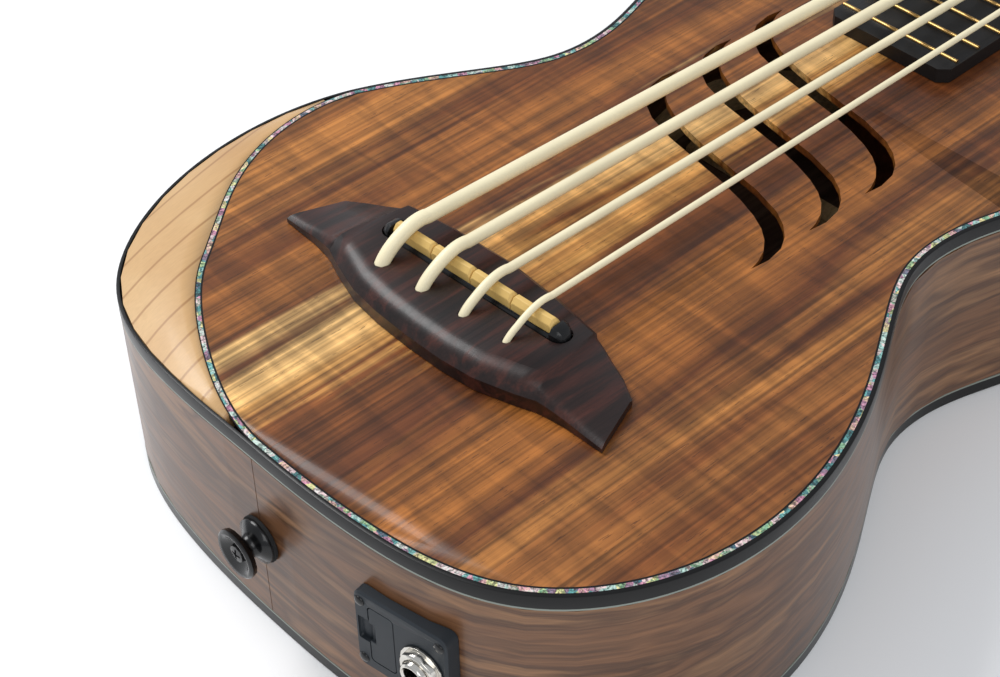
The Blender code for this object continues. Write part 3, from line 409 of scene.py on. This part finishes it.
def rib_wood():
    """Walnut bent round the body, so its grain runs level along the sides."""
    mat, tree, shader = finish("rib_walnut", 0.34, coat=0.08, specular=0.36)
    bands = noise(tree, coords(tree, (9, 9, 75)), detail=4.0, rough=0.55, distortion=0.9)
    streaks = noise(tree, coords(tree, (14, 14, 620)), rough=0.6, distortion=0.3)
    wide = noise(tree, coords(tree, (5, 5, 24)), detail=2.0, distortion=0.4)
    colour = ramp(tree, bands, [
        (0.30, srgb(66, 40, 24)),
        (0.44, srgb(118, 80, 52)),
        (0.52, srgb(84, 54, 34)),
        (0.62, srgb(134, 96, 64)),
        (0.76, srgb(98, 64, 42)),
    ])
    colour = toned(tree, colour, between(tree, mask(tree, streaks, 0.30, 0.68), 0.62, 1.14))
    colour = toned(tree, colour, between(tree, mask(tree, wide, 0.3, 0.7), 0.8, 1.15))
    rough = plus(tree, times(tree, streaks, 0.16), 0.24)
    surface(tree, shader, colour, rough, streaks, 0.0001, 0.25)
    return mat


def maple_armrest():
    """Pale maple with thin brown growth lines running up toward the waist."""
    slant = math.radians(-38)
    mat, tree, shader = finish("maple_armrest", 0.36, coat=0.05, specular=0.35)
    wave = tree.nodes.new("ShaderNodeTexWave")
    wave.wave_type = "BANDS"
    wave.bands_direction = "X"
    wave.inputs["Scale"].default_value = 1.0
    wave.inputs["Distortion"].default_value = 2.6
    wave.inputs["Detail"].default_value = 2.0
    wave.inputs["Detail Scale"].default_value = 0.5
    link(tree, coords(tree, (34, 7, 34), slant), wave.inputs["Vector"])
    growth = mask(tree, wave.outputs["Fac"], 0.965, 1.0)
    colour = ramp(tree, noise(tree, coords(tree, (18, 18, 18))), [
        (0.30, srgb(188, 146, 98)),
        (0.55, srgb(202, 164, 116)),
        (0.75, srgb(212, 178, 132)),
    ])
    fine = noise(tree, coords(tree, (1500, 60, 1500), slant), detail=2.0)
    colour = toned(tree, colour, between(tree, fine, 0.88, 1.08))
    colour = mix(tree, times(tree, growth, 0.6), colour, srgb(138, 92, 52))
    rough = plus(tree, times(tree, fine, 0.12), 0.26)
    surface(tree, shader, colour, rough, fine, 0.00008, 0.25)
    return mat


def abalone():
    """Shell in short segments, each with its own tint and a swirl of colour."""
    mat, tree, shader = finish("abalone_shell", 0.22, coat=0.25)
    cells = tree.nodes.new("ShaderNodeTexVoronoi")
    cells.inputs["Scale"].default_value = 1.0
    link(tree, coords(tree, (330, 330, 330)), cells.inputs["Vector"])
    split = tree.nodes.new("ShaderNodeSeparateColor")
    link(tree, cells.outputs["Color"], split.inputs[0])
    swirl = noise(tree, coords(tree, (420, 420, 420)), detail=4.0, rough=0.6, distortion=2.2)
    tint = plus(tree, times(tree, split.outputs[0], 0.85), times(tree, swirl, 0.3))
    colour = ramp(tree, tint, [
        (0.14, srgb(34, 62, 66)),
        (0.28, srgb(78, 132, 130)),
        (0.40, srgb(150, 168, 158)),
        (0.50, srgb(178, 150, 152)),
        (0.60, srgb(88, 134, 104)),
        (0.70, srgb(178, 172, 118)),
        (0.84, srgb(160, 108, 128)),
        (1.00, srgb(40, 78, 88)),
    ])
    ripple = noise(tree, coords(tree, (800, 800, 800)), detail=2.0, distortion=1.2)
    colour = toned(tree, colour, between(tree, mask(tree, ripple, 0.35, 0.65), 0.35, 2.1))
    surface(tree, shader, colour, None, ripple, 0.00006, 0.3)
    return mat


def moulded(name, colour, rough, coat=0.0, metallic=0.0, speck=2400.0, depth=0.00004):
    """Plastic, polymer, felt or metal: slight change of tint, smudges and a fine surface."""
    mat, tree, shader = finish(name, rough, metallic, coat, specular=0.3)
    broad = noise(tree, coords(tree, (45, 45, 45)))
    fine = noise(tree, coords(tree, (speck, speck, speck)), detail=2.0)
    smudge = times(tree, maths(tree, "SUBTRACT", broad, 0.5), 0.22)
    tinted = toned(tree, colour, between(tree, broad, 0.86, 1.10))
    surface(tree, shader, tinted, plus(tree, smudge, rough), fine, depth, 0.25)
    return mat


KOA = koa_top()
WALNUT = plain_wood("walnut_back", [
    (0.30, srgb(70, 50, 42)),
    (0.48, srgb(112, 88, 74)),
    (0.62, srgb(84, 60, 48)),
    (0.74, srgb(132, 108, 90)),
], band=80.0, streak=800.0, rough=0.34)
MAHOGANY = plain_wood("mahogany_neck", [
    (0.30, srgb(88, 46, 30)),
    (0.55, srgb(122, 68, 42)),
    (0.75, srgb(142, 84, 54)),
], band=60.0, streak=900.0, rough=0.36)
ROSEWOOD = plain_wood("rosewood_bridge", [
    (0.30, srgb(20, 12, 11)),
    (0.50, srgb(36, 20, 17)),
    (0.62, srgb(66, 32, 24)),
    (0.78, srgb(26, 15, 13)),
], band=160.0, streak=1300.0, rough=0.36, coat=0.05)
EBONY = plain_wood("ebony_board", [
    (0.30, srgb(12, 11, 11)),
    (0.60, srgb(20, 18, 17)),
    (0.80, srgb(30, 26, 24)),
], band=120.0, streak=1300.0, rough=0.48, coat=0.0)
SPRUCE = plain_wood("spruce_inside", [
    (0.30, srgb(196, 160, 112)),
    (0.70, srgb(218, 186, 140)),
], band=120.0, streak=900.0, rough=0.65, coat=0.0)
SIDES = rib_wood()
ARMREST = maple_armrest()
SHELL = abalone()
BLACK_TRIM = moulded("black_binding", srgb(7, 6, 6), 0.30)
PALE_LINE = moulded("pale_line", srgb(128, 134, 126), 0.40)
BLACK_PLASTIC = moulded("black_carrier", srgb(16, 16, 17), 0.28, coat=0.1)
TAN = moulded("tan_saddle", srgb(214, 178, 106), 0.46, speck=1800.0, depth=0.00008)
CREAM = moulded("cream_string", srgb(238, 226, 190), 0.42, coat=0.1, speck=3000.0)
BONE = moulded("bone_nut", srgb(228, 220, 198), 0.34)
STEEL = moulded("plain_steel", srgb(170, 170, 172), 0.34, metallic=1.0)
NICKEL = moulded("bright_nickel", srgb(214, 210, 202), 0.14, metallic=1.0)
GOLD_WIRE = moulded("gold_fret_wire", srgb(196, 160, 100), 0.30, metallic=1.0)
BLACK_METAL = moulded("black_fitting", srgb(9, 9, 10), 0.24, coat=0.2)
SLATE = moulded("slate_panel", srgb(36, 41, 46), 0.50, speck=4200.0, depth=0.00006)
FELT = moulded("felt_washer", srgb(34, 34, 34), 0.95, speck=5200.0, depth=0.0003)


# Pieces: how close points are one, how level faces are one, and how sharp an edge is eased.
MERGE = 0.000002
FLAT = math.radians(0.4)
ARRIS = math.radians(34)


def add_object(name, data):
    made = bpy.data.objects.new(name, data)
    bpy.context.scene.collection.objects.link(made)
    return made


def piece(name, bm, mat, angle, body, slot, *stands_for):
    """Object from a bmesh, smoothed under an angle in degrees, riding on its body."""
    mesh = bpy.data.meshes.new(name)
    bm.to_mesh(mesh)
    bm.free()
    mesh.materials.append(mat)
    mesh.shade_smooth()
    mesh.set_sharp_from_angle(angle=math.radians(angle))
    made = add_object(name, mesh)
    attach(made, body)
    if stands_for:
        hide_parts(*stands_for)
    return made


def dress(node, mat, angle, ease=0):
    """Merged, smooth copy of a solid in its finish, its edges eased where a width is given."""
    bm = bmesh.new()
    bm.from_mesh(NODES[node].data)
    bmesh.ops.remove_doubles(bm, verts=bm.verts, dist=MERGE)
    bmesh.ops.dissolve_limit(bm, angle_limit=FLAT, verts=bm.verts, edges=bm.edges)
    made = piece(node + "_finish", bm, mat, angle, NODES[node]["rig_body"], SLOT_OF[node], node)
    if ease:
        eased = made.modifiers.new("eased_edges", "BEVEL")
        eased.width = ease
        eased.segments = 2
        eased.limit_method = "ANGLE"
        eased.angle_limit = ARRIS
        eased.harden_normals = True


def closed_curve(knots, count):
    """Evenly spaced points, inward normals and arc lengths of a closed cubic through the knots."""
    knots = np.array(knots)
    steps = np.linalg.norm(np.roll(knots, -1, axis=0) - knots, axis=1)
    size = len(knots)
    system = np.zeros((size, size))
    right = np.zeros((size, 2))
    for i in range(size):
        before = steps[i - 1]
        after = steps[i]
        following = knots[(i + 1) % size]
        system[i, i - 1] += before
        system[i, i] += 2 * (before + after)
        system[i, (i + 1) % size] += after
        right[i] = 6 * ((following - knots[i]) / after - (knots[i] - knots[i - 1]) / before)
    bend = np.linalg.solve(system, right)
    t = np.linspace(0, 1, STEPS_PER_KNOT, endpoint=False)[:, None]
    u = 1 - t
    fine = []
    for i in range(size):
        j = (i + 1) % size
        bow = (u**3 - u) * bend[i] + (t**3 - t) * bend[j]
        fine.append(u * knots[i] + t * knots[j] + steps[i] ** 2 / 6 * bow)
    fine = np.concatenate(fine)
    closed = np.vstack([fine, fine[:1]])
    run = np.concatenate([[0], np.cumsum(np.linalg.norm(np.diff(closed, axis=0), axis=1))])
    along = np.arange(count) / count * run[-1]
    points = np.stack([np.interp(along, run, closed[:, k]) for k in (0, 1)], axis=1)
    tangent = np.roll(points, -1, axis=0) - np.roll(points, 1, axis=0)
    tangent /= np.linalg.norm(tangent, axis=1)[:, None]
    return points, np.stack([tangent[:, 1], -tangent[:, 0]], axis=1), along


# Body edge, from the tail round the bass side first.
bass_half = [(-x, y) for x, y in HALF_OUTLINE]
treble_half = list(HALF_OUTLINE[:0:-1])
EDGE, INWARD, ALONG = closed_curve(bass_half + treble_half, STATIONS)


def arm(i):
    """Share of the armrest's full width at a station."""
    part = ALONG[i] / ARM_LENGTH
    return math.sin(math.pi * part) ** ARM_FULLNESS if 0 < part < 1 else 0.0


def rim(i):
    """Height of the top edge at a station, lowered along the armrest."""
    return DEPTH - ARM_DROP * arm(i)


def ledge(i):
    """Offset from the edge at which the armrest or binding ends and the shell strip begins."""
    return RABBET + ARM_WIDTH * arm(i)


def edge_ring(name, section, mat, slot, *stands_for):
    """Trim strip right round the body; section gives (offset, z) corners at a station."""
    bm = bmesh.new()
    loops = []
    for i in range(STATIONS):
        corners = []
        for offset, z in section(i):
            x, y = EDGE[i] + INWARD[i] * offset
            corners.append(bm.verts.new((x, y, z)))
        loops.append([bm.edges.new(ends) for ends in zip(corners, corners[1:] + corners[:1])])
    for i, loop in enumerate(loops):
        bmesh.ops.bridge_loops(bm, edges=loops[i - 1] + loop)
    bmesh.ops.recalc_face_normals(bm, faces=bm.faces)
    piece(name, bm, mat, 40, "body", slot, *stands_for)


def strip(outer, inner, low, high):
    """Rectangular section between two offsets and two heights."""
    return [(outer, low), (inner, low), (inner, high), (outer, high)]


def binding_top(i):
    high = rim(i)
    low = high - BINDING_H + PALE_LINE_H
    middle = BINDING_EASE * ROUND_MIDDLE
    rounded = [(BINDING_EASE, high), (middle, high - middle), (0, high - BINDING_EASE)]
    return [(0, low), (BINDING_W, low), (BINDING_W, high)] + rounded


def pale_line_top(i):
    high = rim(i) - BINDING_H + PALE_LINE_H
    return strip(-PALE_LINE_PROUD, BINDING_W, high - PALE_LINE_H, high)


def binding_back(i):
    high = BINDING_H - PALE_LINE_H
    return [(BINDING_EASE, 0), (BINDING_W, 0), (BINDING_W, high), (0, high), (0, BINDING_EASE)]


def pale_line_back(i):
    return strip(-PALE_LINE_PROUD, BINDING_W, BINDING_H - PALE_LINE_H, BINDING_H)


def shell_strip(i):
    outer = ledge(i) + SHELL_INSET
    inner = ledge(i) + SHELL_W - SHELL_INSET
    return strip(outer, inner, DEPTH - SHELL_DEEP, DEPTH + SHELL_PROUD)


def line_outside_shell(i):
    outer = ledge(i) - GAP - BLACK_LINE_LAP
    return strip(outer, ledge(i), DEPTH - BLACK_LINE_DEEP, DEPTH + OUTER_LINE_PROUD)


def line_inside_shell(i):
    outer = ledge(i) + SHELL_W
    return strip(outer, outer + BLACK_LINE_W, DEPTH - BLACK_LINE_DEEP, DEPTH + INNER_LINE_PROUD)


edge_ring("binding_top_black", binding_top, BLACK_TRIM, "black_trim", "binding_top")
edge_ring("pale_line_top", pale_line_top, PALE_LINE, "black_trim")
edge_ring("binding_back_black", binding_back, BLACK_TRIM, "black_trim", "binding_back")
edge_ring("pale_line_back", pale_line_back, PALE_LINE, "black_trim")
edge_ring("shell_inlay", shell_strip, SHELL, "abalone", "abalone_strip")
edge_ring("black_line_outside_shell", line_outside_shell, BLACK_TRIM, "black_trim")
edge_ring("black_line_inside_shell", line_inside_shell, BLACK_TRIM, "black_trim")

# Solids by finish, with the angle that stays smooth and the width of the eased edges.
for mat, angle, ease, nodes in (
    (KOA, 30, 0, ("top_plate",)),
    (ARMREST, 50, 0, ("armrest",)),
    (WALNUT, 30, 0, ("back_plate",)),
    (SIDES, 30, 0, ("rib_bass", "rib_treble")),
    (MAHOGANY, 40, 0, ("neck_block", "tail_block", "neck")),
    (SPRUCE, 40, 0, ("lining_top_bass", "lining_top_treble", "lining_back_bass", "lining_back_treble")),
    (SPRUCE, 30, 0, ("brace_top_upper", "brace_top_lower", "brace_back_upper", "brace_back_lower")),
    (SPRUCE, 30, 0, ("bridge_plate",)),
    (ROSEWOOD, 30, 0, ("bridge",)),
    (ROSEWOOD, 30, 0.0003, ("headplate",)),
    (BONE, 30, 0.0003, ("nut",)),
    (BLACK_PLASTIC, 44, 0.0003, ("saddle_carrier",)),
    (STEEL, 30, 0, ("pickup_strip", "truss_rod")),
    (BLACK_PLASTIC, 40, 0.0006, ("preamp_box",)),
    (BLACK_PLASTIC, 40, 0.0003, ("access_cover",)),
    (SLATE, 30, 0, ("panel_plate",)),
    (SLATE, 30, 0.0002, ("battery_drawer",)),
    (STEEL, 40, 0, ("coin_cell_1", "coin_cell_2")),
    (NICKEL, 40, 0.0001, ("jack_sleeve",)),
    (NICKEL, 30, 0.0002, ("jack_nut",)),
    (FELT, 40, 0, ("strap_washer",)),
    (BLACK_METAL, 50, 0, ("strap_button",)),
    (BLACK_METAL, 40, 0, ("strap_screw",)),
):
    for node in nodes:
        dress(node, mat, angle, ease)
for letter in LETTERS:
    dress("saddle_" + letter, TAN, 30, 0.0003)
    dress("tuner_housing_" + letter, BLACK_METAL, 30, 0.0003)
    dress("tuner_button_" + letter, BLACK_METAL, 55)
    dress("tuner_post_" + letter, BLACK_METAL, 40)
dress("fingerboard", EBONY, 30)


def fret_wires():
    """Gold wire on the crown of each fret."""
    bm = bmesh.new()
    for n in range(1, FRETS + 1):
        y = SCALE / 2 ** (n / 12)
        half = np.interp(y, (BOARD_END, SCALE), BOARD_HALF) - FRET_INSET
        end = bmesh.ops.create_circle(bm, cap_ends=True, segments=16, radius=FRET_R)["verts"]
        turn = Matrix.Translation((-half, y, DEPTH + FRET_Z)) @ Matrix.Rotation(math.pi / 2, 4, "Y")
        bmesh.ops.transform(bm, matrix=turn, verts=end)
        drawn = bmesh.ops.extrude_face_region(bm, geom=[end[0].link_faces[0]])
        moved = [made for made in drawn["geom"] if isinstance(made, bmesh.types.BMVert)]
        bmesh.ops.translate(bm, vec=(2 * half, 0, 0), verts=moved)
    bmesh.ops.recalc_face_normals(bm, faces=bm.faces)
    piece("fret_wires", bm, GOLD_WIRE, 40, "body", "nickel")


def curved(first, pull, last, steps):
    """Points of a quadratic curve after its first one."""
    points = []
    for i in range(1, steps + 1):
        t = i / steps
        points.append(first * (1 - t) ** 2 + pull * 2 * t * (1 - t) + last * t * t)
    return points


def string_path(k):
    """Points of a string's middle line, from its anchor to the last wrap."""
    r = STRING_RADII[k]
    x = (k - MIDDLE_STRING) * STRING_PITCH
    saddle_y = SADDLE_Y + x * math.tan(SADDLE_TURN)
    hole = Vector((x, saddle_y - HOLE_BACK, DEPTH))
    contact = Vector((x, saddle_y, DEPTH + SADDLE_TOP + GAP + r))
    nut_x = (k - MIDDLE_STRING) * NUT_PITCH
    nut = Vector((nut_x, SCALE + NUT_MIDDLE, DEPTH + NUT_SLOT + GAP + r))
    run = (nut - contact).normalized()
    path = [hole + Vector((0, 0, z)) for z in (-ANCHOR_DEEP, -BORE_DEEP, HOLE_RISE)]
    path += curved(path[-1], hole + Vector((0, 0, ELBOW_RISE)), contact - LEAN, 12)
    path += curved(path[-1], contact + CREST, contact + run * PAST_SADDLE, 10)
    path.append(nut - run * NUT_BEND)
    post_x, post_y = POSTS[k]
    post_z = DEPTH - math.tan(HEAD_TILT) * (post_y - HEAD_PIVOT)
    post = Matrix.Translation((post_x, post_y, post_z)) @ Matrix.Rotation(-HEAD_TILT, 4, "X")
    wrap_r = POST_R + r + GAP
    side = 1 if post_x < 0 else -1
    pitch = 2 * r + WRAP_SPACE
    height = HEADPLATE_THICK + 2 * GAP + WRAP_LIFT + r + WRAPS * pitch
    leaves = post.inverted() @ (nut + NUT_LEAVE)
    first = math.atan2(leaves.y, leaves.x) + side * math.acos(wrap_r / math.hypot(leaves.x, leaves.y))

    def on_post(i):
        turns = i / WRAP_POINTS
        angle = first + side * 2 * math.pi * turns
        return post @ Vector((wrap_r * math.cos(angle), wrap_r * math.sin(angle), height - pitch * turns))

    start = on_post(0)
    path += curved(path[-1], nut + NUT_CREST, nut + (start - nut).normalized() * PAST_NUT, 6)
    path += [on_post(i) for i in range(round(WRAPS * WRAP_POINTS) + 1)]
    return path


def string(k):
    letter = LETTERS[k]
    curve = bpy.data.curves.new("string_round_" + letter, "CURVE")
    curve.dimensions = "3D"
    curve.bevel_depth = STRING_RADII[k]
    curve.bevel_resolution = 5
    curve.use_fill_caps = True
    points = string_path(k)
    spline = curve.splines.new("POLY")
    spline.points.add(len(points) - 1)
    for point, place in zip(spline.points, points):
        point.co = (*place, 1.0)
    spline.use_smooth = True
    curve.materials.append(CREAM)
    made = add_object("string_round_" + letter, curve)
    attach(made, "body")
    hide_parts("string_" + letter)


def panel_screws():
    """Domed screw heads at the corners of the side panel."""
    bm = bmesh.new()
    turn = Matrix((PANEL_ALONG, (0, 0, 1), PANEL_OUT)).transposed().to_4x4()
    for along in (-SCREW_ALONG, SCREW_ALONG):
        for up in (-SCREW_UP, SCREW_UP):
            head = bmesh.ops.create_uvsphere(bm, u_segments=20, v_segments=10, radius=SCREW_R)["verts"]
            bmesh.ops.scale(bm, vec=(1, 1, SCREW_DOME), verts=head)
            spot = PANEL_CENTRE + PANEL_ALONG * along + Vector((0, 0, up)) + PANEL_OUT * PANEL_PROUD
            bmesh.ops.transform(bm, matrix=Matrix.Translation(spot) @ turn, verts=head)
    bmesh.ops.recalc_face_normals(bm, faces=bm.faces)
    piece("panel_screws", bm, BLACK_METAL, 40, "body", "black_metal")


fret_wires()
for k in range(len(LETTERS)):
    string(k)
panel_screws()


# Floor, light and camera.
def pale_floor():
    bm = bmesh.new()
    bmesh.ops.create_grid(bm, x_segments=1, y_segments=1, size=FLOOR_HALF)
    bmesh.ops.translate(bm, vec=(0, 0, -FLOOR_DROP), verts=bm.verts)
    mesh = bpy.data.meshes.new("floor")
    bm.to_mesh(mesh)
    bm.free()
    mat, tree, shader = finish("pale_floor", 0.6)
    cloud = noise(tree, coords(tree, (3, 3, 3)), detail=2.0)
    link(tree, between(tree, cloud, 0.92, 0.95), shader.inputs["Base Color"])
    mesh.materials.append(mat)
    add_object("floor", mesh)


def studio_light():
    """Pale sky and two soft lamps, each with its place, size and power."""
    world = bpy.data.worlds.new("studio")
    world.use_nodes = True
    sky = world.node_tree.nodes["Background"]
    sky.inputs["Color"].default_value = SKY_COLOUR
    sky.inputs["Strength"].default_value = SKY_STRENGTH
    bpy.context.scene.world = world
    for name, spot, size, power in LAMPS:
        lamp = bpy.data.lights.new(name, "AREA")
        lamp.size = size
        lamp.energy = power
        made = add_object(name, lamp)
        made.location = spot
        made.rotation_euler = (LAMP_AIM - Vector(spot)).to_track_quat("-Z", "Y").to_euler()


def photo_camera():
    """Camera fitted to the photograph: near the tail on the treble side, looking toward the neck."""
    forward = Vector(CAMERA_FORWARD).normalized()
    right = Vector(CAMERA_RIGHT).normalized()
    lens = bpy.data.cameras.new("photo_camera")
    lens.sensor_fit = "HORIZONTAL"
    lens.sensor_width = 36.0
    lens.lens = CAMERA_LENS
    lens.shift_x = CAMERA_SHIFT
    lens.clip_start = 0.01
    made = add_object("photo_camera", lens)
    turn = Matrix((right, right.cross(forward), -forward)).transposed().to_4x4()
    made.matrix_world = Matrix.Translation(CAMERA_PLACE) @ turn
    bpy.context.scene.camera = made


pale_floor()
studio_light()
photo_camera()
bpy.context.scene.view_settings.view_transform = "Standard"
